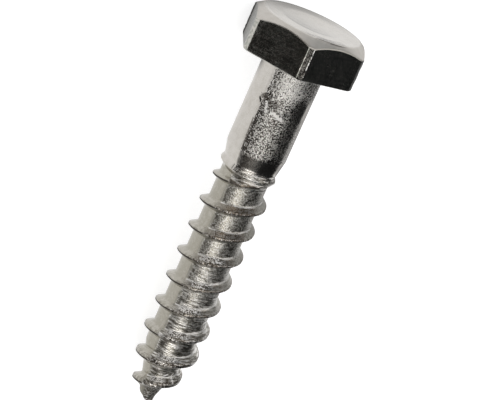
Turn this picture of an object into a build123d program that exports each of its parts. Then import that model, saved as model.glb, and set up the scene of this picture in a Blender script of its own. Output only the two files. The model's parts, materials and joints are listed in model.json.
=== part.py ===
from build123d import *
from math import asin, atan2, cos, degrees, hypot, pi
import os

# Hexagon head coach screw, 10 x 60, in millimetres. It is one piece: the head is forged on one
# end of the blank and the thread is rolled into the other, so everything here ends as one solid.
# It is drawn standing, with the bearing face under the head at z = 0, the head above it and the
# point below. "Depth" is the distance below the bearing face. The last step lays it down the way
# it rests on a table, on one flat of the hexagon and on one turn of the thread.

os.makedirs("parts", exist_ok=True)

# Head
ACROSS_FLATS = 17.0
ACROSS_CORNERS = 19.1
HEAD_HEIGHT = 6.3
HEAD_TOP_DIAMETER = 15.6
HEAD_CHAMFER_HEIGHT = 1.2
HEAD_EDGE_ROUNDING = 0.25
DISH_DIAMETER = 9.7
DISH_DEPTH = 0.2

# Plain shank, and the neck with a raised lip where the rolled thread begins
LENGTH = 60.0
SHANK_DIAMETER = 9.56
SHANK_LENGTH = 14.7
UNDERHEAD_FILLET = 0.4
NECK_DIAMETER = 8.5
NECK_LENGTH = 2.6
LIP_DIAMETER = 9.15
LIP_WIDTH = 0.8

# Thread: one coarse right-hand ridge standing on a slimmer core
THREAD_DIAMETER = 10.0
CORE_DIAMETER = 7.7
PITCH = 4.5
THREAD_START_ANGLE = 176.0
LEAD_IN = 5.0
CREST_WIDTH = 0.3
HEAD_SIDE_FLANK = 0.8
HEAD_SIDE_ROOT = 0.25
POINT_SIDE_FLANK = 0.65
POINT_SIDE_ROOT = 0.15
RIDGE_SINK = 0.15

# Point
POINT_LENGTH = 10.2
NOSE_DIAMETER = 1.9
NOSE_ROUNDING = 0.6
BARE_NOSE = 1.6
LEAD_OUT = 1.4
CREST_LAG = 0.9

NECK_END = SHANK_LENGTH + NECK_LENGTH
POINT_SLOPE = (CORE_DIAMETER - NOSE_DIAMETER) / 2 / POINT_LENGTH


def core_radius(depth):
    """Radius at the root of the thread, even down to the point and then tapering."""
    return CORE_DIAMETER / 2 - max(depth - LENGTH + POINT_LENGTH, 0.0) * POINT_SLOPE


def crest_stations():
    """(depth, radius) of the crest where its run changes: it grows out of the neck, runs level,
    follows the taper of the point and then dies away before the nose."""
    full = THREAD_DIAMETER / 2
    foot = CREST_WIDTH / 2 + POINT_SIDE_FLANK + POINT_SIDE_ROOT
    taper = LENGTH - POINT_LENGTH + CREST_LAG
    end = LENGTH - BARE_NOSE
    fade = end - LEAD_OUT
    return [
        (NECK_END, NECK_DIAMETER / 2 - RIDGE_SINK),
        (NECK_END + LEAD_IN, full),
        (LENGTH - POINT_LENGTH - foot, full),
        (taper, full),
        (fade, full - (fade - taper) * POINT_SLOPE),
        (end, core_radius(end) - RIDGE_SINK / 2),
    ]


def crest_radius(depth):
    """Radius of the crest at a depth."""
    stations = crest_stations()
    for (upper, wide), (lower, narrow) in zip(stations, stations[1:]):
        if upper <= depth <= lower:
            return wide + (narrow - wide) * (depth - upper) / (lower - upper)
    return core_radius(depth)


def make_head():
    """Hexagon with its corners turned round, a 34 degree chamfer and a shallow dish on top."""
    with BuildPart() as head:
        with BuildSketch():
            RegularPolygon(ACROSS_FLATS / 2, 6, major_radius=False)
        extrude(amount=HEAD_HEIGHT)
        with BuildSketch(Plane.XZ):
            with BuildLine():
                Polyline(
                    (DISH_DIAMETER / 2, HEAD_HEIGHT),
                    (HEAD_TOP_DIAMETER / 2, HEAD_HEIGHT),
                    (ACROSS_CORNERS / 2, HEAD_HEIGHT - HEAD_CHAMFER_HEIGHT),
                    (ACROSS_CORNERS / 2, 0),
                    (0, 0),
                    (0, HEAD_HEIGHT - DISH_DEPTH),
                )
                TangentArc((0, HEAD_HEIGHT - DISH_DEPTH), (DISH_DIAMETER / 2, HEAD_HEIGHT), tangent=(1, 0))
            make_face()
        revolve(axis=Axis.Z, mode=Mode.INTERSECT)
        fillet(head.faces().sort_by(Axis.Z)[0].edges(), HEAD_EDGE_ROUNDING)
    return head.part


def make_blank():
    """Everything round below the head: fillet, plain shank, neck, lip, thread core, point, nose.
    The small fillet under the head is drawn as two cones, which touch its arc in the middle."""
    nose = core_radius(LENGTH - NOSE_ROUNDING)
    shank = SHANK_DIAMETER / 2
    hollow = UNDERHEAD_FILLET * (1 - cos(pi / 4))
    with BuildPart() as blank:
        with BuildSketch(Plane.XZ):
            with BuildLine():
                Polyline(
                    (0, -LENGTH),
                    (0, UNDERHEAD_FILLET),
                    (shank + UNDERHEAD_FILLET, UNDERHEAD_FILLET),
                    (shank + UNDERHEAD_FILLET, 0),
                    (shank + hollow, -hollow),
                    (shank, -UNDERHEAD_FILLET),
                    (shank, -SHANK_LENGTH),
                    (NECK_DIAMETER / 2, -NECK_END),
                    (LIP_DIAMETER / 2, -NECK_END - LIP_WIDTH),
                    (CORE_DIAMETER / 2, -NECK_END - 2 * LIP_WIDTH),
                    (CORE_DIAMETER / 2, POINT_LENGTH - LENGTH),
                    (nose, NOSE_ROUNDING - LENGTH),
                )
                TangentArc((0, -LENGTH), (nose, NOSE_ROUNDING - LENGTH), tangent=(1, 0))
            make_face()
        revolve(axis=Axis.Z)
    return blank.part


def ridge_profile(depth, crest):
    """(depth, radius) corners of the ridge in a plane through the axis, from the head side round
    to the point side: a foot sunk into the core, a hollow root, a straight flank and the crest."""

    def flank(side, width, root):
        foot = depth + side * (CREST_WIDTH / 2 + width + root)
        low = core_radius(foot)
        slope = (crest - low) / width
        return [
            (foot, low - RIDGE_SINK),
            (foot - side * root, low + slope * root / 4),
            (foot - side * 2 * root, low + slope * root),
            (depth + side * CREST_WIDTH / 2, crest),
        ]

    head_side = flank(-1, HEAD_SIDE_FLANK, HEAD_SIDE_ROOT)
    point_side = flank(1, POINT_SIDE_FLANK, POINT_SIDE_ROOT)
    return head_side + point_side[::-1]


def make_ridge(upper, lower):
    """Ridge between two crest stations: every corner of the profile follows its own helix, the
    helices are joined by ruled faces, and the two end profiles close it."""
    rise = lower[0] - upper[0]
    helices = []
    for (start, wide), (end, narrow) in zip(ridge_profile(*upper), ridge_profile(*lower)):
        climb = end - start
        cone = atan2(wide - narrow, climb)
        lead = PITCH * climb / rise / cos(cone)
        helix = Edge.make_helix(lead, climb, narrow, (0, 0, -end), (0, 0, 1), degrees(cone))
        helices.append(helix.rotate(Axis.Z, THREAD_START_ANGLE - 360 * lower[0] / PITCH))
    neighbours = helices[1:] + helices[:1]
    faces = [Face.make_surface_from_curves(one, other) for one, other in zip(helices, neighbours)]
    for end in (0, 1):
        faces.append(Face(Wire.make_polygon([helix.position_at(end) for helix in helices])))
    return Solid(Shell(faces))


def make_thread():
    """The ridge in its runs, one after the other."""
    stations = crest_stations()
    return [make_ridge(upper, lower) for upper, lower in zip(stations, stations[1:])]


def rest_angle():
    """Tilt of the axis when the screw lies on a flat of the hexagon and on one turn of the
    thread. The turn that touches is the one that needs the least tilt."""
    centre_height = ACROSS_FLATS / 2 - HEAD_EDGE_ROUNDING
    first = PITCH * (THREAD_START_ANGLE - 270) / 360 + CREST_WIDTH / 2
    tilts = []
    for turn in range(1, int(LENGTH / PITCH) + 1):
        depth = first + turn * PITCH
        if NECK_END + LEAD_IN < depth < LENGTH - BARE_NOSE:
            run = depth + HEAD_EDGE_ROUNDING
            drop = centre_height - crest_radius(depth)
            tilts.append(atan2(drop, run) + asin(HEAD_EDGE_ROUNDING / hypot(run, drop)))
    return degrees(min(tilts))


def make_screw():
    """The whole screw, laid down with its head towards +X and the floor below it."""
    standing = make_head().fuse(make_blank(), *make_thread())
    lying = Plane(origin=(0, 0, 0), x_dir=(0, 1, 0), z_dir=(1, 0, 0)).location * standing
    return lying.rotate(Axis.Y, -rest_angle())


screw = make_screw().solids()[0]
export_step(screw, "parts/coach_screw.step")
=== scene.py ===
import json
from math import cos, pi, radians, sin

import bmesh
import bpy
import numpy as np
from mathutils import Matrix, Vector


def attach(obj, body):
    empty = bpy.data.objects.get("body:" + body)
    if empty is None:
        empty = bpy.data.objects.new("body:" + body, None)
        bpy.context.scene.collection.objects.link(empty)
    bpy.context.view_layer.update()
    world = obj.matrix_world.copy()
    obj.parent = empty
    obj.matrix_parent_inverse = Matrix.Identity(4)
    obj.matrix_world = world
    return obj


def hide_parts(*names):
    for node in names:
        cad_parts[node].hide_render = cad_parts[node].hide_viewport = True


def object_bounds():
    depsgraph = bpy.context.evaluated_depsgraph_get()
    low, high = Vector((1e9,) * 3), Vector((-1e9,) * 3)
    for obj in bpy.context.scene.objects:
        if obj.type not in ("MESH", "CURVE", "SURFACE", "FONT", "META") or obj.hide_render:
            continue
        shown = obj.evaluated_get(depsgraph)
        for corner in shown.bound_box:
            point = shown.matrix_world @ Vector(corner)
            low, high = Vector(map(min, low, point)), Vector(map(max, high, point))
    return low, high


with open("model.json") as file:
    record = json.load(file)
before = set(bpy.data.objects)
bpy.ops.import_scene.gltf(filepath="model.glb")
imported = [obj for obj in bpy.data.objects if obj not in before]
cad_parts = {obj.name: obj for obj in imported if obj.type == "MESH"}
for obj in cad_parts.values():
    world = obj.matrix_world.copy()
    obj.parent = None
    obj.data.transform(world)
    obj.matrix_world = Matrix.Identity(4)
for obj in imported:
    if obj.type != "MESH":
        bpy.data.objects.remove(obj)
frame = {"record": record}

CAD_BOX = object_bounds()

# A hexagon head coach screw, 10 x 60, of stainless steel, lying on a pale floor. Sizes are in
# millimetres and are the CAD part's own, but for the lip, which stands out 0.05 more, and for the
# slants, the spread of the last crests and the lean, which are chance and wear. The screw is made
# standing, bearing face at z = 0 and point downwards, and laid into place at the end. "Depth" is
# the distance below the bearing face. Angles round the screw are in degrees, unless they are
# called radians.
MM = 0.001

# Head
ACROSS_FLATS = 17.0
ACROSS_CORNERS = 19.1
HEAD_HEIGHT = 6.3
HEAD_TOP_DIAMETER = 15.6
CHAMFER_HEIGHT = 1.2
DISH_DIAMETER = 9.7
DISH_DEPTH = 0.2

# Shank and thread
SIZES = {
    "Length": 60.0,
    "Shank Diameter": 9.56,
    "Shank Length": 14.7,
    "Underhead Fillet": 0.4,
    "Neck Diameter": 8.5,
    "Neck Length": 2.6,
    "Lip Diameter": 9.25,
    "Lip Width": 0.8,
    "Lip Slant": 0.35,
    "Thread Diameter": 10.0,
    "Core Diameter": 7.7,
    "Pitch": 4.5,
    "Crest Width": 0.3,
    "Head Side Flank": 0.8,
    "Point Side Flank": 0.65,
    "First Crest": 2.2,
    "Lead In": 5.0,
    "Point Length": 10.2,
    "Nose Diameter": 1.9,
    "Nose Rounding": 0.6,
    "Bare Nose": 1.6,
    "Lead Out": 1.4,
    "Crest Lag": 0.9,
    "Crest Spread": 0.3,
    "Nose Slant": 0.55,
    "Lean": 0.22,
}
# How softly the forms below the head run into each other
NOSE_BLEND = 0.25
CREST_BLEND = 0.12
ROOT_BLEND = 0.3
# The side from which the slant of the lip and the lean of the point are measured, in radians
FRONT = radians(51.0)

COLUMNS = 144
TURNS = 15
# Rows of mesh across one turn of the thread, as (width, rows): they crowd at the crest and roots
TURN_ROWS = [
    (0.90, 4),
    (0.45, 5),
    (0.62, 5),
    (0.56, 8),
    (0.42, 4),
    (0.45, 5),
    (1.10, 5),
]


class Link:
    """A socket in a node tree. Arithmetic on it adds Math nodes to that tree."""

    def __init__(self, graph, socket):
        self.graph, self.socket = graph, socket

    def math(self, operation, *others):
        sockets = dict(enumerate((self, *others)))
        return self.graph.add("ShaderNodeMath", {"operation": operation}, sockets)

    def __add__(self, other):
        return self.math("ADD", other)

    def __sub__(self, other):
        return self.math("SUBTRACT", other)

    def __rsub__(self, other):
        return self.math("MULTIPLY_ADD", -1.0, other)

    def __mul__(self, other):
        return self.math("MULTIPLY", other)

    def __truediv__(self, other):
        return self.math("DIVIDE", other)

    def __rtruediv__(self, other):
        return self.math("POWER", -1.0) * other

    def __pow__(self, other):
        return self.math("POWER", other)

    def __neg__(self):
        return self.math("MULTIPLY", -1.0)

    __radd__ = __add__
    __rmul__ = __mul__

    def clamp(self, low=0.0, high=1.0):
        return self.math("MAXIMUM", low).math("MINIMUM", high)

    def smooth(self, low, high):
        """0 below low, 1 above high and an even curve between."""
        settings = {"interpolation_type": "SMOOTHSTEP"}
        sockets = {"Value": self, "From Min": low, "From Max": high}
        return self.graph.add("ShaderNodeMapRange", settings, sockets)

    def band(self, rise_from, rise_to, fall_from, fall_to):
        """1 between the middle two values, and 0 before the first and after the last."""
        return self.smooth(rise_from, rise_to) * (1.0 - self.smooth(fall_from, fall_to))

    def beside(self, place, inner, outer):
        """1 up to inner from a value on both sides of it, falling to 0 at outer."""
        return 1.0 - (self - place).math("ABSOLUTE").smooth(inner, outer)


class Graph:
    """Adds nodes to one shader or geometry tree."""

    def __init__(self, tree):
        self.tree = tree
        tree.nodes.clear()

    def add(self, kind, settings=None, sockets=None, outlet=0):
        """A node of that kind: settings first, with a ramp's stops under "stops", then sockets."""
        node = self.tree.nodes.new(kind)
        for name, value in (settings or {}).items():
            if name == "stops":
                ramp = node.color_ramp
                while len(ramp.elements) < len(value):
                    ramp.elements.new(1.0)
                for element, (place, colour) in zip(ramp.elements, value):
                    element.position, element.color = place, colour
            else:
                setattr(node, name, value)
        for name, value in (sockets or {}).items():
            if isinstance(value, Link):
                self.tree.links.new(value.socket, node.inputs[name])
            else:
                node.inputs[name].default_value = value
        return Link(self, node.outputs[outlet] if node.outputs else None)

    def sibling(self, link, outlet):
        """Another outlet of the node a link comes from."""
        return Link(self, link.socket.node.outputs[outlet])

    def piecewise(self, x, points):
        """Straight runs through (x, value) points, level beyond the ends."""
        total = points[0][1]
        for (left, low), (right, high) in zip(points, points[1:]):
            run = ((x - left) / (right - left)).clamp()
            total = run * (high - low) + total
        return total

    def noise(self, vector, scale, detail, roughness):
        settings = {"noise_dimensions": "3D"}
        sockets = {"Vector": vector, "Scale": scale, "Detail": detail, "Roughness": roughness}
        return self.add("ShaderNodeTexNoise", settings, sockets)

    def near(self, x, y, start, end, reach):
        """1 on the line from start to end in the x, y plane, falling to 0 at reach from it."""
        run = (end[0] - start[0], end[1] - start[1])
        length = run[0] ** 2 + run[1] ** 2
        t = (((x - start[0]) * run[0] + (y - start[1]) * run[1]) / length).clamp()
        aside, off = x - start[0] - t * run[0], y - start[1] - t * run[1]
        return 1.0 - (aside * aside + off * off).math("SQRT").smooth(0.0, reach)

    def vector_math(self, operation, *vectors, outlet=0):
        sockets = dict(enumerate(vectors))
        return self.add("ShaderNodeVectorMath", {"operation": operation}, sockets, outlet)

    def xyz(self, vector):
        split = self.add("ShaderNodeSeparateXYZ", sockets={0: vector})
        return split, self.sibling(split, 1), self.sibling(split, 2)

    def vector(self, x, y, z):
        return self.add("ShaderNodeCombineXYZ", sockets={0: x, 1: y, 2: z})

    def mixed(self, factor, first, second):
        """The first colour where the factor is 0, and the second where it is 1 or more."""
        sockets = {"Factor": factor.clamp(), 6: first, 7: second}
        return self.add("ShaderNodeMix", {"data_type": "RGBA"}, sockets, outlet=2)


def geometry_tree(name, sizes, with_mesh):
    """A geometry tree with a named input for each size, and one for the material."""
    tree = bpy.data.node_groups.new(name, "GeometryNodeTree")
    graph = Graph(tree)
    face = tree.interface
    if with_mesh:
        face.new_socket("Geometry", in_out="INPUT", socket_type="NodeSocketGeometry")
    for size in sizes:
        face.new_socket(size, in_out="INPUT", socket_type="NodeSocketFloat")
    face.new_socket("Material", in_out="INPUT", socket_type="NodeSocketMaterial")
    face.new_socket("Geometry", in_out="OUTPUT", socket_type="NodeSocketGeometry")
    inlet = graph.add("NodeGroupInput")
    return graph, {socket.name: Link(graph, socket) for socket in inlet.socket.node.outputs}


def finish_tree(graph, geometry, material):
    """Ends a geometry tree: smooth, whole and in its material."""
    smooth = graph.add("GeometryNodeSetShadeSmooth", sockets={"Geometry": geometry})
    whole = graph.add("GeometryNodeRealizeInstances", sockets={"Geometry": smooth})
    sockets = {"Geometry": whole, "Material": material}
    dressed = graph.add("GeometryNodeSetMaterial", sockets=sockets)
    graph.add("NodeGroupOutput", sockets={"Geometry": dressed})


def run_tree(graph, mesh, values):
    """The plain mesh that a tree makes of a mesh, with its inputs set by their identifiers."""
    carrier = bpy.data.objects.new("carrier", mesh)
    bpy.context.scene.collection.objects.link(carrier)
    modifier = carrier.modifiers.new("tree", "NODES")
    modifier.node_group = graph.tree
    for item in graph.tree.interface.items_tree:
        if item.in_out == "INPUT" and item.name in values:
            modifier[item.identifier] = values[item.name]
    view = bpy.context.evaluated_depsgraph_get()
    view.update()
    made = bpy.data.meshes.new_from_object(carrier.evaluated_get(view))
    carrier.modifiers.remove(modifier)
    bpy.data.objects.remove(carrier)
    return made


def rolled_shank_tree():
    """Everything below the head as one skin. Its rows run along the thread, so that the ridge
    keeps a clean crest: each row drops by one pitch in going once round."""
    graph, size = geometry_tree("rolled_shank", SIZES, False)
    rows = sum(count for _, count in TURN_ROWS)
    points = {"Vertices X": COLUMNS + 1, "Vertices Y": TURNS * rows + 1}
    grid = graph.add("GeometryNodeMeshGrid", sockets={"Size X": 1.0, "Size Y": 1.0, **points})
    across, along, _ = graph.xyz(graph.add("GeometryNodeInputPosition"))
    round_ = across + 0.5
    turns = (along + 0.5) * float(TURNS)
    # a row on the border of two turns belongs to the later one
    turn = (turns + 1e-5).math("FLOOR")

    # where a row lies in its turn, in millimetres from the crest, towards the point
    places, row, width = [], 0, 0.0
    for step, count in TURN_ROWS:
        places.append((row / rows, width))
        row, width = row + count, width + step
    places.append((1.0, width))
    pitch = size["Pitch"]
    offset = graph.piecewise(turns - turn, places) - pitch / 2.0
    crest_depth = size["First Crest"] + (turn - round_) * pitch
    end = size["Length"]
    even = (crest_depth + offset).clamp(0.0, end)
    bare = size["Bare Nose"]
    tail = ((even - (end - bare)) / bare).clamp()
    # rows crowd at the very end, where the nose rounds over
    depth = even + tail * (1.0 - tail) * bare * 0.8

    # the blank: fillet under the head, shank, neck, slanted lip, core, point and nose
    angle = round_ * (2 * pi)
    slant = (angle - FRONT).math("SINE") * size["Lip Slant"]
    neck_end = size["Shank Length"] + size["Neck Length"]
    neck = size["Neck Diameter"] / 2.0
    lip = size["Lip Width"]
    core = size["Core Diameter"] / 2.0
    shifted = depth - slant * depth.smooth(14.0, 17.5)
    blank = graph.piecewise(
        shifted,
        [
            (size["Shank Length"], size["Shank Diameter"] / 2.0),
            (neck_end, neck),
            (neck_end + lip, size["Lip Diameter"] / 2.0),
            (neck_end + lip * 2.0, core),
        ],
    )
    hollow = size["Underhead Fillet"]
    up = (hollow - depth).math("MAXIMUM", 0.0)
    fillet = hollow - (hollow * hollow - up * up).math("MAXIMUM", 0.0).math("SQRT")
    slope = (size["Core Diameter"] - size["Nose Diameter"]) / 2.0 / size["Point Length"]
    taper = (depth - (end - size["Point Length"])).math("MAXIMUM", 0.0) * slope
    dome = ((end - depth) * size["Nose Rounding"] * 3.6).math("SQRT")
    body = (blank + fillet - taper).math("SMOOTH_MIN", dome, NOSE_BLEND).math("MINIMUM", dome)

    # the ridge: it grows out of the neck, runs level, follows the point and dies away
    crest = size["Thread Diameter"] / 2.0
    taper_start = end - size["Point Length"] + size["Crest Lag"]
    fade_end = end - bare
    fade = fade_end - size["Lead Out"]
    grown = graph.piecewise(
        crest_depth,
        [
            (neck_end, neck - 0.15),
            (neck_end + size["Lead In"], crest),
            (taper_start, crest),
            (fade, crest - (fade - taper_start) * slope),
            (fade_end, core - (fade_end - end + size["Point Length"]) * slope - 0.1),
        ],
    )
    height = crest - core
    # the last crests were squeezed wider
    spread = crest_depth.smooth(42.0, 52.0) * size["Crest Spread"]
    half_crest = (size["Crest Width"] + spread) / 2.0
    head_side = grown + (offset + half_crest) * (height / size["Head Side Flank"])
    point_side = grown - (offset - half_crest) * (height / size["Point Side Flank"])
    ridge = head_side.math("SMOOTH_MIN", grown, CREST_BLEND)
    ridge = ridge.math("SMOOTH_MIN", point_side, CREST_BLEND)
    # before it starts, the ridge is sunk deep inside the neck
    started = crest_depth.smooth(17.0, 17.6)
    ridge = ridge * started + (started - 1.0) * 2.0
    radius = body.math("SMOOTH_MAX", ridge, ROOT_BLEND)
    radius = radius.math("MINIMUM", dome + crest * (1.0 - tail))

    # the point leans a little aside, and its nose is sheared off aslant
    lean = ((depth - 50.0) / 10.0).clamp() ** 2.0 * size["Lean"]
    aside = FRONT - pi / 2
    sheared = (angle - aside).math("COSINE") * radius + size["Nose Diameter"] * 0.7
    slanted = sheared * tail * size["Nose Slant"]
    place = graph.vector(
        radius * angle.math("COSINE") + lean * cos(aside),
        radius * angle.math("SINE") + lean * sin(aside),
        slanted - depth,
    )
    # for the finish: how far the ridge stands out of the core, and how far past its crest
    marked = grid
    for name, value in {"rise": radius - body, "past": offset - half_crest}.items():
        settings = {"data_type": "FLOAT", "domain": "POINT"}
        sockets = {"Geometry": marked, "Name": name, "Value": value}
        marked = graph.add("GeometryNodeStoreNamedAttribute", settings, sockets)
    skin = graph.add("GeometryNodeSetPosition", sockets={"Geometry": marked, "Position": place})
    sockets = {"Geometry": skin, "Distance": 0.0005}
    closed = graph.add("GeometryNodeMergeByDistance", sockets=sockets)
    finish_tree(graph, closed, size["Material"])
    return graph


def smaller_of(a, b, blend):
    """The smaller of two lengths, with the meeting rounded."""
    near = max(blend - abs(a - b), 0.0) / blend
    return min(a, b) - near**3 * blend / 6


def rounded(corners, steps):
    """A line through (radius, height, rounding) corners. Each is turned in the given number of
    steps, and the run up to each is cut into the number of pieces that steps names for it."""
    line = [np.array(corners[0][:2])]
    triples = zip(corners, corners[1:], corners[2:])
    for (before, (r, z, size), after), (turn, pieces) in zip(triples, steps):
        here = np.array((r, z))
        back = np.array(before[:2]) - here
        on = np.array(after[:2]) - here
        back_way, on_way = back / np.linalg.norm(back), on / np.linalg.norm(on)
        first, last = here + back_way * size, here + on_way * size
        start = line[-1]
        for i in range(1, pieces):
            line.append(start + (first - start) * i / pieces)
        for i in range(turn + 1):
            t = i / turn
            line.append(first * (1 - t) ** 2 + here * 2 * t * (1 - t) + last * t**2)
    return line


def head_mesh():
    """The hexagon head as one skin that starts on the edge of the fillet under it."""
    # the columns crowd at each corner of the hexagon: how far each is from it, in degrees
    from_corner = (0.0, 0.8, 1.6, 2.25, 2.7, 3.1, 3.6, 4.4, 6.5, 11.0, 17.0, 23.5, 30.0)
    half = COLUMNS // 12
    half_flats, half_corners = ACROSS_FLATS / 2, ACROSS_CORNERS / 2
    top_rim, dish_rim = HEAD_TOP_DIAMETER / 2, DISH_DIAMETER / 2
    fall = CHAMFER_HEIGHT / (half_corners - top_rim)
    shank_rim = SIZES["Shank Diameter"] / 2 + SIZES["Underhead Fillet"]
    dish_floor = HEAD_HEIGHT - DISH_DEPTH
    dish = [(dish_rim * f, HEAD_HEIGHT - DISH_DEPTH * (1 - f * f), 0.2) for f in (0.8, 0.4)]
    columns = []
    for i in range(COLUMNS):
        sector, place = divmod(i + half, 2 * half)
        off = from_corner[abs(place - half)]
        angle = radians(60 * sector + (off if place > half else -off))
        side = smaller_of(half_flats / cos(radians(30 - off)), half_corners, 0.12)
        corners = [
            (shank_rim, 0.0, 0.0),
            (side, 0.0, 0.25),
            (side, HEAD_HEIGHT - (side - top_rim) * fall, 0.14),
            (top_rim, HEAD_HEIGHT, 0.3),
            (dish_rim, HEAD_HEIGHT, 0.25),
            *dish,
            (0.05, dish_floor, 0.0),
        ]
        line = rounded(corners, [(5, 5), (4, 14), (4, 4), (3, 8), (2, 4), (2, 6)])
        # a last ring round the pole
        line.append(np.array((0.6, dish_floor)))
        columns.append([(r * cos(angle), r * sin(angle), z) for r, z in line])
    made = bmesh.new()
    grid = [[made.verts.new(place) for place in column] for column in columns]
    pole = made.verts.new((0.0, 0.0, dish_floor))
    for column, beside in zip(grid, grid[1:] + grid[:1]):
        for a, b, c, d in zip(column, beside, beside[1:], column[1:]):
            made.faces.new((a, b, c, d))
        made.faces.new((column[-1], beside[-1], pole))
    # the first ring is the last ring of the shank, evenly spaced
    for i, column in enumerate(grid):
        angle = 2 * pi * i / COLUMNS
        column[0].co = (shank_rim * cos(angle), shank_rim * sin(angle), 0.0)
    mesh = bpy.data.meshes.new("forged_head")
    made.to_mesh(mesh)
    made.free()
    return mesh


def joined(meshes):
    """One closed skin of several meshes, welded where their edges meet, facing outwards."""
    whole = bmesh.new()
    for mesh in meshes:
        whole.from_mesh(mesh)
    bmesh.ops.remove_doubles(whole, verts=whole.verts, dist=0.002)
    bmesh.ops.recalc_face_normals(whole, faces=whole.faces)
    mesh = bpy.data.meshes.new("coach_screw_skin")
    whole.to_mesh(mesh)
    whole.free()
    return mesh


# Heights of the fine relief, and the size of the skin's unevenness
RELIEF = {
    "Peel": 0.018,
    "Peel Size": 1.1,
    "Crest Wear": 0.07,
    "Scar": 0.09,
    "Rings": 0.02,
    "Burr": 0.06,
}
RING_SPACING = 0.42

# Small marks as strokes on the skin: from one place to another, each as (depth, way round along
# the shank's side), and how far the stroke reaches beside that line
STROKES = {
    "scar": ((6.0, 1.6), (7.6, 3.5), 0.32),
    "pit": ((5.6, 1.9), (6.2, 4.3), 0.9),
    "step": ((7.55, 4.3), (7.9, 9.8), 0.28),
    "seam": ((9.3, 1.85), (14.4, 2.15), 0.16),
    "flake": ((6.2, 2.75), (7.5, 3.3), 0.36),
    "shine": ((7.4, 4.2), (7.85, 5.9), 0.45),
    "scratch": ((6.3, 4.5), (6.7, 5.8), 0.9),
    "chip": ((53.8, 6.5), (53.5, 7.3), 0.36),
    "next chip": ((53.3, 9.0), (54.3, 8.8), 0.32),
}


def marks(graph, place):
    """What tells one part of the screw from another, and where its marks are, from a place on
    the standing screw in millimetres."""
    x, y, above = graph.xyz(place)
    depth = -above
    angle = y.math("ARCTAN2", x) * (180 / pi)
    radius = (x * x + y * y).math("SQRT")
    arc = angle * (pi / 180 * SIZES["Shank Diameter"] / 2)
    strokes = {name: graph.near(depth, arc, *stroke) for name, stroke in STROKES.items()}
    below = depth.smooth(-0.02, 0.02)
    thread = depth.smooth(17.4, 18.6)
    # how far round from the nearest corner of the head, whose lands, burrs and sides are marked
    sector = ((angle + 390.0) / 60.0).math("FRACT") * 60.0 - 30.0
    cone = CHAMFER_HEIGHT / (ACROSS_CORNERS - HEAD_TOP_DIAMETER) * 2.0
    outside = radius * cone + above - (HEAD_TOP_DIAMETER / 2.0 * cone + HEAD_HEIGHT)
    chamfer = outside.smooth(-0.2, -0.05)
    side = radius.smooth(8.3, 8.45) * above.smooth(0.02, 0.1) * (1.0 - chamfer)
    # two stretches along the screw that the rolls left smooth, with a wandering edge
    wander = graph.noise(place, 0.55, 3.0, 0.7) - 0.5
    edge = angle + wander * (thread * 26.0 + 6.0)
    far = angle.smooth(-85.0, -70.0)
    burnished = edge.smooth(58.0, 112.0) * (1.0 - angle.smooth(150.0, 165.0))
    return {
        "angle": angle,
        "radius": radius,
        "depth": depth,
        "above": above,
        "below": below,
        "sand": below * (1.0 - depth.smooth(14.0, 15.2)),
        "thread": thread,
        "sector": sector,
        "chamfer": chamfer,
        "side": side,
        "land": side * sector.band(-2.6, -2.1, 2.7, 3.1) * radius.smooth(9.2, 9.4),
        "rolled": far * (1.0 - edge.smooth(23.0, 27.0)),
        "fringe": far * (1.0 - edge.smooth(26.0, 42.0)) * depth.smooth(3.0, 7.0),
        "burnished": burnished * depth.smooth(2.8, 5.4),
        **strokes,
    }


def worn_surface_tree():
    """Fine unevenness of the cold formed skin, worn crests, a scar, and burrs on the head."""
    graph, size = geometry_tree("worn_surface", RELIEF, True)
    place = graph.add("GeometryNodeInputPosition")
    mark = marks(graph, place)
    depth, above, radius = mark["depth"], mark["above"], mark["radius"]
    peel = graph.noise(place, 1.0 / size["Peel Size"], 2.0, 0.55) - 0.5
    peel = peel * size["Peel"] * (mark["below"] * 1.4 + 0.6)
    crest = radius.smooth(4.6, 4.95) * depth.smooth(19.0, 22.0)
    nicks = graph.noise(place, 1.3, 3.0, 0.65) - 0.62
    crush = depth.band(53.0, 57.0, 59.2, 59.9)
    wear = nicks * size["Crest Wear"] * (crest + crush * 1.5)
    scar = mark["scar"] * size["Scar"] * -1.0 + mark["step"] * 0.04 - mark["pit"] * 0.02
    # burr along one edge of each corner land
    edge = mark["sector"].beside(3.2, 0.0, 0.9)
    side = radius.smooth(9.2, 9.45) * above.band(0.1, 0.4, 4.9, 5.1)
    beads = graph.noise(place, 2.6, 1.0, 0.5).smooth(0.35, 0.6)
    burr = edge * side * beads * size["Burr"]
    # turned rings left near the rim of the flat top
    ring = (radius * (2 * pi / RING_SPACING)).math("SINE") * radius.band(6.3, 6.9, 7.4, 7.8)
    rings = ring * above.smooth(6.2, 6.25) * size["Rings"]
    total = peel + wear + scar + burr + rings
    normal = graph.add("GeometryNodeInputNormal")
    push = graph.vector_math("SCALE", normal)
    graph.tree.links.new(total.socket, push.socket.node.inputs["Scale"])
    inlet = size["Geometry"]
    moved = graph.add("GeometryNodeSetPosition", sockets={"Geometry": inlet, "Offset": push})
    finish_tree(graph, moved, size["Material"])
    return graph


def way_of_axis():
    """The way from the point to the head, as the screw lies."""
    mounts = {mount["name"]: mount for mount in frame["record"]["mounts"]}
    return -Vector(mounts["bearing_face"]["axis"]).normalized()


def axis_frame():
    """Turns the standing screw, in millimetres, to where it lies, in metres."""
    up = way_of_axis()
    first = Vector((0.0, 1.0, 0.0))
    second = up.cross(first)
    turn = Matrix((first, second, up)).transposed().to_4x4()
    return turn @ Matrix.Scale(MM, 4)


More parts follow.
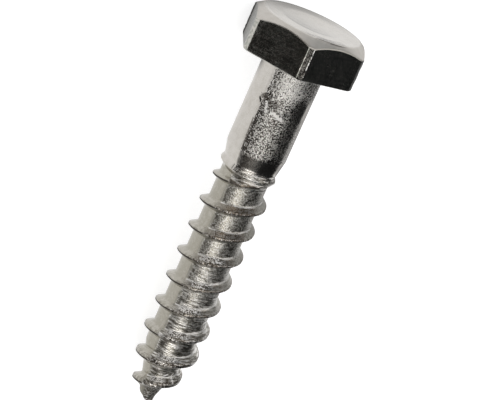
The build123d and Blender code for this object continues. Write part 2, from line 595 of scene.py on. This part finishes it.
# The steel's tones. The shank and the upper thread are pale, the rest of the thread duller, and
# its flanks tanned. Skin is the dark scale between frosted grains and between drawn lines, and
# also painted shade between painted glints. Frost is also painted highlight, and dirt is also
# painted shade along the crests.
PALE = (0.63, 0.60, 0.56, 1)
DULL = (0.39, 0.37, 0.315, 1)
TANNED = (0.33, 0.25, 0.18, 1)
SKIN_AND_SHADE = (0.07, 0.062, 0.053, 1)
FROST_AND_HIGHLIGHT = (0.95, 0.93, 0.90, 1)
DIRT_AND_SHADE = (0.06, 0.05, 0.04, 1)
# The head's sides are blued in patches and have black scale on their corners; the same black is
# painted shade on the far corner
BLUED = (0.17, 0.21, 0.18, 1)
SCALE = (0.012, 0.011, 0.010, 1)
BUMP_HEIGHT = 0.1 * MM


def stainless():
    """Satin cold formed stainless steel: sandy on the shank, duller in the thread with tanned
    flanks, dark on the sides of the head with painted shade on its far corner, and plain on its
    top, darker on the nose, with dark dirt in the scar, painted shade along the crests, and
    painted highlights on the ridges, the burr and one place of the shank."""
    material = bpy.data.materials.new("satin_stainless")
    material.use_nodes = True
    graph = Graph(material.node_tree)
    mixed = graph.mixed
    settle = axis_frame().inverted()
    place = graph.add(
        "ShaderNodeMapping",
        {"vector_type": "POINT"},
        {
            "Vector": graph.add("ShaderNodeTexCoord", outlet="Object"),
            "Rotation": settle.to_euler("XYZ"),
            "Scale": (1 / MM, 1 / MM, 1 / MM),
        },
    )
    mark = marks(graph, place)
    depth, angle, radius = mark["depth"], mark["angle"], mark["radius"]
    thread, below, rolled, side = mark["thread"], mark["below"], mark["rolled"], mark["side"]
    unrolled = 1.0 - rolled

    # stretches along the screw
    lip = depth.band(16.8, 17.4, 19.6, 20.6)
    lower = depth.smooth(26.0, 44.0)
    point = depth.smooth(41.0, 47.0)
    nose = depth.smooth(55.8, 57.2)

    # parts of the ridge
    rise = graph.add("ShaderNodeAttribute", {"attribute_name": "rise"}, outlet="Fac")
    past = graph.add("ShaderNodeAttribute", {"attribute_name": "past"}, outlet="Fac")
    flank = rise.smooth(0.12, 0.4)
    ridge = thread * flank
    crest = rise.smooth(0.85, 1.1) * thread
    head_side = 1.0 - past.smooth(-0.3, 0.0)
    verge = past.beside(-0.02, 0.10, 0.24) * rise.smooth(0.4, 0.7) * thread
    root = rise.band(0.02, 0.08, 0.14, 0.30) * head_side * thread

    # patterns: three sizes of speck, and lines drawn round the screw
    grain = graph.noise(place, 5.4, 1.5, 0.6)
    spots = graph.noise(place, 2.2, 2.0, 0.6)
    drift = graph.noise(place, 0.9, 2.0, 0.6)
    around = graph.vector(angle * 0.035, depth * 3.4, rise * 2.0)
    streak = graph.noise(around, 1.0, 2.0, 0.6)
    speckle = spots + grain * 0.7

    # frosted grains standing in a darker skin, on the shank and less in the core
    core = thread * (1.0 - flank) * (1.0 - point * 0.8)
    polish = mark["burnished"] * (0.95 - thread * 0.85 - depth.smooth(6.5, 9.0) * 0.25)
    gritty = mark["sand"] + core * 0.4 + below * 0.25
    gritty = (gritty * (1.0 - rolled * 0.97) * (1.0 - polish)).clamp()
    # paler, with more grains, just below the head from 32 to 110 degrees round
    paler_below_head = (1.0 - depth.smooth(3.5, 6.0)) * below * angle.band(32.0, 50.0, 75.0, 110.0)
    raised = paler_below_head * 0.115 + mark["shine"] * 0.2 + thread * 0.02 - mark["fringe"] * 0.07
    grains = (grain + drift * 0.12 + raised).smooth(0.55, 0.63)

    # the steel itself, its tanned flanks, the flanks darker from 46 to 106 degrees round, and the
    # grains
    mottled = thread * (0.9 - flank * 0.2) + drift.smooth(0.35, 0.7) * 0.2
    mottled = mottled + thread * (spots - 0.5) * 0.9
    tone = mixed(mottled, PALE, DULL)
    tanned = ridge * angle.band(12.0, 74.0, 88.0, 118.0) * (0.9 - lower * 0.4)
    darker_flanks = ridge * angle.band(46.0, 74.0, 90.0, 106.0) * (0.6 - lower * 0.5)
    tone = mixed(tanned, tone, TANNED)
    tone = mixed(darker_flanks, tone, SKIN_AND_SHADE)
    tone = mixed(gritty * (1.0 - grains) * (0.95 - thread * 0.45), tone, SKIN_AND_SHADE)
    tone = mixed(gritty * grains, tone, FROST_AND_HIGHLIGHT)

    # the neck is darker, and the rolls drew fine lines round the point, the lip and one place of
    # the shank
    drawn = lower * (1.0 - flank * (1.0 - point) * 0.65)
    lined = ((drawn + lip + mark["scratch"]) * unrolled).clamp()
    neck = depth.band(14.4, 15.2, 16.4, 17.2) * unrolled
    tone = mixed(neck * 0.5, tone, SKIN_AND_SHADE)
    tone = mixed(lined * streak.smooth(0.51, 0.58) * 0.65, tone, SKIN_AND_SHADE)
    tone = mixed(lined * (1.0 - streak.smooth(0.41, 0.50)), tone, FROST_AND_HIGHLIGHT)
    # a painted highlight along the root of the ridge, on its side towards the head
    tone = mixed(root * unrolled * streak.smooth(0.40, 0.52), tone, FROST_AND_HIGHLIGHT)

    # arcs that the tool left inside the rim of the flat top
    arcs = mark["above"].smooth(5.2, 5.4) * radius.band(6.2, 6.5, 7.9, 8.1)
    arcs = arcs * angle.band(40.0, 60.0, 92.0, 108.0)
    turning = graph.noise(graph.vector(angle * 0.03, radius * 5.5, 0.0), 1.0, 2.0, 0.6)
    tone = mixed(arcs * turning.smooth(0.45, 0.51) * 0.85, tone, SKIN_AND_SHADE)

    # a painted sparkling highlight on the lower ridge's side towards the head, with painted shade
    # between the glints
    painted_glint_flank = rise.band(0.02, 0.15, 0.8, 1.1) * head_side
    painted_glint_flank = painted_glint_flank * depth.smooth(26.5, 30.5) * angle.band(28.0, 45.0, 74.0, 92.0)
    painted_glints = (streak * 0.7 + spots * 0.5 + grain).smooth(1.06, 1.13)
    tone = mixed(painted_glint_flank * (1.0 - painted_glints) * 0.6, tone, SKIN_AND_SHADE)

    # the crests are nicked and dark in the nicks, with painted shade along their verge towards the
    # point
    nicked = crest * spots.smooth(0.50, 0.56) * (1.0 - rolled * 0.6)
    # painted shade along the verge of the crests: solid on the rolled side, in spots elsewhere
    painted_verge_shade = verge * rolled
    tone = mixed(nicked * 0.75 + painted_verge_shade + verge * spots.smooth(0.44, 0.52) * 0.8, tone, DIRT_AND_SHADE)
    tone = mixed(crest * grain.smooth(0.58, 0.66) * unrolled, tone, FROST_AND_HIGHLIGHT)

    # the head's sides, the scale on its corners, and painted shade on its far corner
    tone = mixed(side * (spots.smooth(0.38, 0.6) * 0.5 + 0.05), tone, BLUED)
    scaled = mark["land"] * angle.band(20.0, 40.0, 130.0, 150.0) * (1.0 - grains * 0.15)
    # painted shade on the far corner of the head: black, less metallic and rougher
    painted_shade_far_corner = side * angle.band(-90.0, -70.0, -52.0, -40.0)

    # dirt in the pit and the seam, and the nose darker, more so further round
    pitted = (mark["pit"] + spots * 1.6 - 0.8).smooth(0.3, 0.7) * mark["pit"].smooth(0.0, 0.4)
    pitted = pitted * (0.9 - grains * 0.4)
    dirt_and_darker_nose = nose * (0.8 - grains * 0.6) * (angle.smooth(10.0, 70.0) * 0.55 + 0.5)
    dirt_and_darker_nose = dirt_and_darker_nose + (pitted + mark["seam"]) * 0.9

    # torn and chipped places are bright; the sparkles, the shine and the beads of the burr are
    # painted highlights
    flake = mark["flake"].smooth(0.1, 0.5) * speckle.smooth(0.74, 0.82)
    shine = mark["shine"] * speckle.smooth(0.8, 0.88) * 0.8
    chips = (mark["chip"] + mark["next chip"]).smooth(0.2, 0.5) * (grain + spots).smooth(0.7, 0.8)
    beads = side * mark["sector"].beside(2.7, 0.15, 0.6) * angle.smooth(20.0, 40.0)
    beads = beads * spots.smooth(0.47, 0.55)
    bright = (flake + shine + painted_glint_flank * painted_glints + chips + beads).clamp()
    tone = mixed(dirt_and_darker_nose, tone, DIRT_AND_SHADE)
    tone = mixed(scaled + painted_shade_far_corner * 0.9, tone, SCALE)
    tone = mixed(bright, tone, FROST_AND_HIGHLIGHT)

    rough = 0.15 + below * 0.04 + gritty * grains * 0.30 + nose * 0.25 + mark["flake"] * 0.4
    rough = rough + thread * unrolled * angle.smooth(52.0, 70.0) * 0.09
    rough = rough + thread * angle.band(8.0, 24.0, 40.0, 52.0) * 0.1
    rough = rough + mark["chamfer"] * 0.25 + (painted_shade_far_corner + painted_verge_shade) * 0.5
    rough = rough + side * (drift + streak - 0.7) * 0.2

    height = grain * (gritty * (1.0 - thread * 0.25) + crest * 0.6 + 0.05)
    height = height + side * angle.smooth(2.0, 8.0) * (spots + drift) * 0.2
    height = height + lined * streak * (2.0 - point * 0.9)
    sockets = {"Strength": 1.0, "Distance": BUMP_HEIGHT, "Height": height}
    surface = graph.add(
        "ShaderNodeBsdfPrincipled",
        sockets={
            "Base Color": tone,
            "Metallic": 1.0 - bright * 0.8 - painted_shade_far_corner * 0.9 - painted_verge_shade * 0.8,
            "Roughness": rough,
            "Normal": graph.add("ShaderNodeBump", sockets=sockets),
        },
    )
    graph.add("ShaderNodeOutputMaterial", sockets={"Surface": surface})
    return material


metal = stainless()
nothing = bpy.data.meshes.new("nothing")
shank_skin = run_tree(rolled_shank_tree(), nothing, {**SIZES, "Material": metal})
screw_skin = joined([shank_skin, head_mesh()])
screw_skin = run_tree(worn_surface_tree(), screw_skin, {**RELIEF, "Material": metal})
screw_skin.transform(axis_frame())
screw_skin.materials.clear()
screw_skin.materials.append(metal)
for polygon in screw_skin.polygons:
    polygon.use_smooth = True
screw = bpy.data.objects.new("coach_screw_body", screw_skin)
bpy.context.scene.collection.objects.link(screw)
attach(screw, "root")
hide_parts("coach_screw")


def floor_material():
    """Pale and matt. What the metal reflects of it is plain white near the screw, ends at the near
    edge of the table, and has painted shadows in two patches close beside the screw."""
    material = bpy.data.materials.new("pale_floor")
    material.use_nodes = True
    graph = Graph(material.node_tree)
    camera_ray = graph.add("ShaderNodeLightPath", outlet="Is Camera Ray")
    glossy_ray = graph.sibling(camera_ray, "Is Glossy Ray")
    matt = graph.add("ShaderNodeBsdfDiffuse", sockets={"Color": (0.7, 0.7, 0.7, 1.0)})
    lift = graph.add("ShaderNodeEmission", sockets={"Strength": camera_ray * 0.72})
    seen = graph.add("ShaderNodeAddShader", sockets={0: matt, 1: lift})
    # places on the floor, in metres
    x, y, _ = graph.xyz(graph.add("ShaderNodeTexCoord", outlet="Object"))
    table = 1.0 - y.smooth(0.080, 0.130)
    # painted shadows in what the metal reflects: under the head, and beside the thread
    under_head = x.band(-0.006, -0.001, 0.006, 0.010) * (1.0 - y.smooth(0.003, 0.010))
    behind_thread = x.band(-0.036, -0.026, -0.005, 0.0) * (-y).smooth(0.003, 0.008)
    bright = table * (1.0 - under_head * 0.85) * (1.0 - behind_thread * 0.5)
    mirrored = graph.add("ShaderNodeEmission", sockets={"Strength": bright * 0.93 + 0.02})
    both = graph.add("ShaderNodeMixShader", sockets={0: glossy_ray, 1: seen, 2: mirrored})
    graph.add("ShaderNodeOutputMaterial", sockets={"Surface": both})
    return material


FLOOR_SIZE = 1.2
bpy.ops.mesh.primitive_plane_add(size=FLOOR_SIZE, location=(0, 0, CAD_BOX[0].z))
floor = bpy.context.object
floor.name = "floor"
floor.data.materials.append(floor_material())

CAMERA_PLACE = Vector((48.70, 160.61, 206.88)) * MM
CAMERA_TARGET = Vector((-22.48, -1.54, 0.0)) * MM
CAMERA_ROLL = radians(129.98)
FOCAL_LENGTH, SENSOR_WIDTH = 129.6, 36.0


def studio(front):
    """Even white for the floor and for what is matt. What the metal reflects is a dark room, with
    one soft light at the front, a window towards the head's end, walls that are a little paler
    about the light, and pale ends beyond the head and the point."""
    world = bpy.data.worlds.new("studio")
    bpy.context.scene.world = world
    world.use_nodes = True
    graph = Graph(world.node_tree)
    glossy_ray = graph.add("ShaderNodeLightPath", outlet="Is Glossy Ray")
    way = graph.add("ShaderNodeTexCoord", outlet="Generated")
    axis = way_of_axis()
    towards = (front - axis * front.dot(axis)).normalized()
    sideways = axis.cross(towards)
    ahead = graph.vector_math("DOT_PRODUCT", way, towards, outlet="Value")
    aside = graph.vector_math("DOT_PRODUCT", way, sideways, outlet="Value")
    along = graph.vector_math("DOT_PRODUCT", way, axis, outlet="Value")
    # degrees round the screw's axis, from the front
    turned = aside.math("ARCTAN2", ahead) * (180 / pi)
    lamp = turned.band(-12.0, -2.0, 18.0, 38.0) * (1.0 - (-along).smooth(0.38, 0.54) * 0.95)
    lamp = lamp * (1.0 - along.smooth(0.0, 0.25)) * 2.5
    window = along.band(0.12, 0.3, 0.72, 0.85) * turned.band(-25.0, -10.0, 90.0, 120.0)
    light = lamp.math("MAXIMUM", window)
    ends = along.smooth(0.80, 0.90) * 0.3 + (-along).smooth(0.7, 0.95) * 0.45
    right = turned.smooth(-15.0, 50.0)
    wall = ends + 0.011 + turned.smooth(-42.0, -28.0) * (1.0 - right) * 0.075
    warm, cool, plain = (1.0, 0.94, 0.86, 1.0), (0.86, 0.94, 1.0, 1.0), (1.0, 0.985, 0.96, 1.0)
    tint = graph.mixed(light * 4.0, graph.mixed(right, warm, cool), plain)
    room = graph.add("ShaderNodeBackground", sockets={"Color": tint, "Strength": light + wall})
    even = graph.add("ShaderNodeBackground", sockets={"Strength": 0.95})
    both = graph.add("ShaderNodeMixShader", sockets={0: glossy_ray, 1: even, 2: room})
    graph.add("ShaderNodeOutputWorld", sockets={"Surface": both})


studio((CAMERA_PLACE - CAMERA_TARGET).normalized())

lens = bpy.data.cameras.new("camera")
lens.lens, lens.sensor_width = FOCAL_LENGTH, SENSOR_WIDTH
lens.clip_start, lens.clip_end = 0.01, 5.0
camera = bpy.data.objects.new("camera", lens)
look = (CAMERA_TARGET - CAMERA_PLACE).to_track_quat("-Z", "Y").to_matrix()
turn = (look @ Matrix.Rotation(CAMERA_ROLL, 3, "Z")).to_4x4()
camera.matrix_world = Matrix.Translation(CAMERA_PLACE) @ turn
bpy.context.scene.collection.objects.link(camera)
bpy.context.scene.camera = camera
bpy.context.scene.view_settings.view_transform = "Standard"
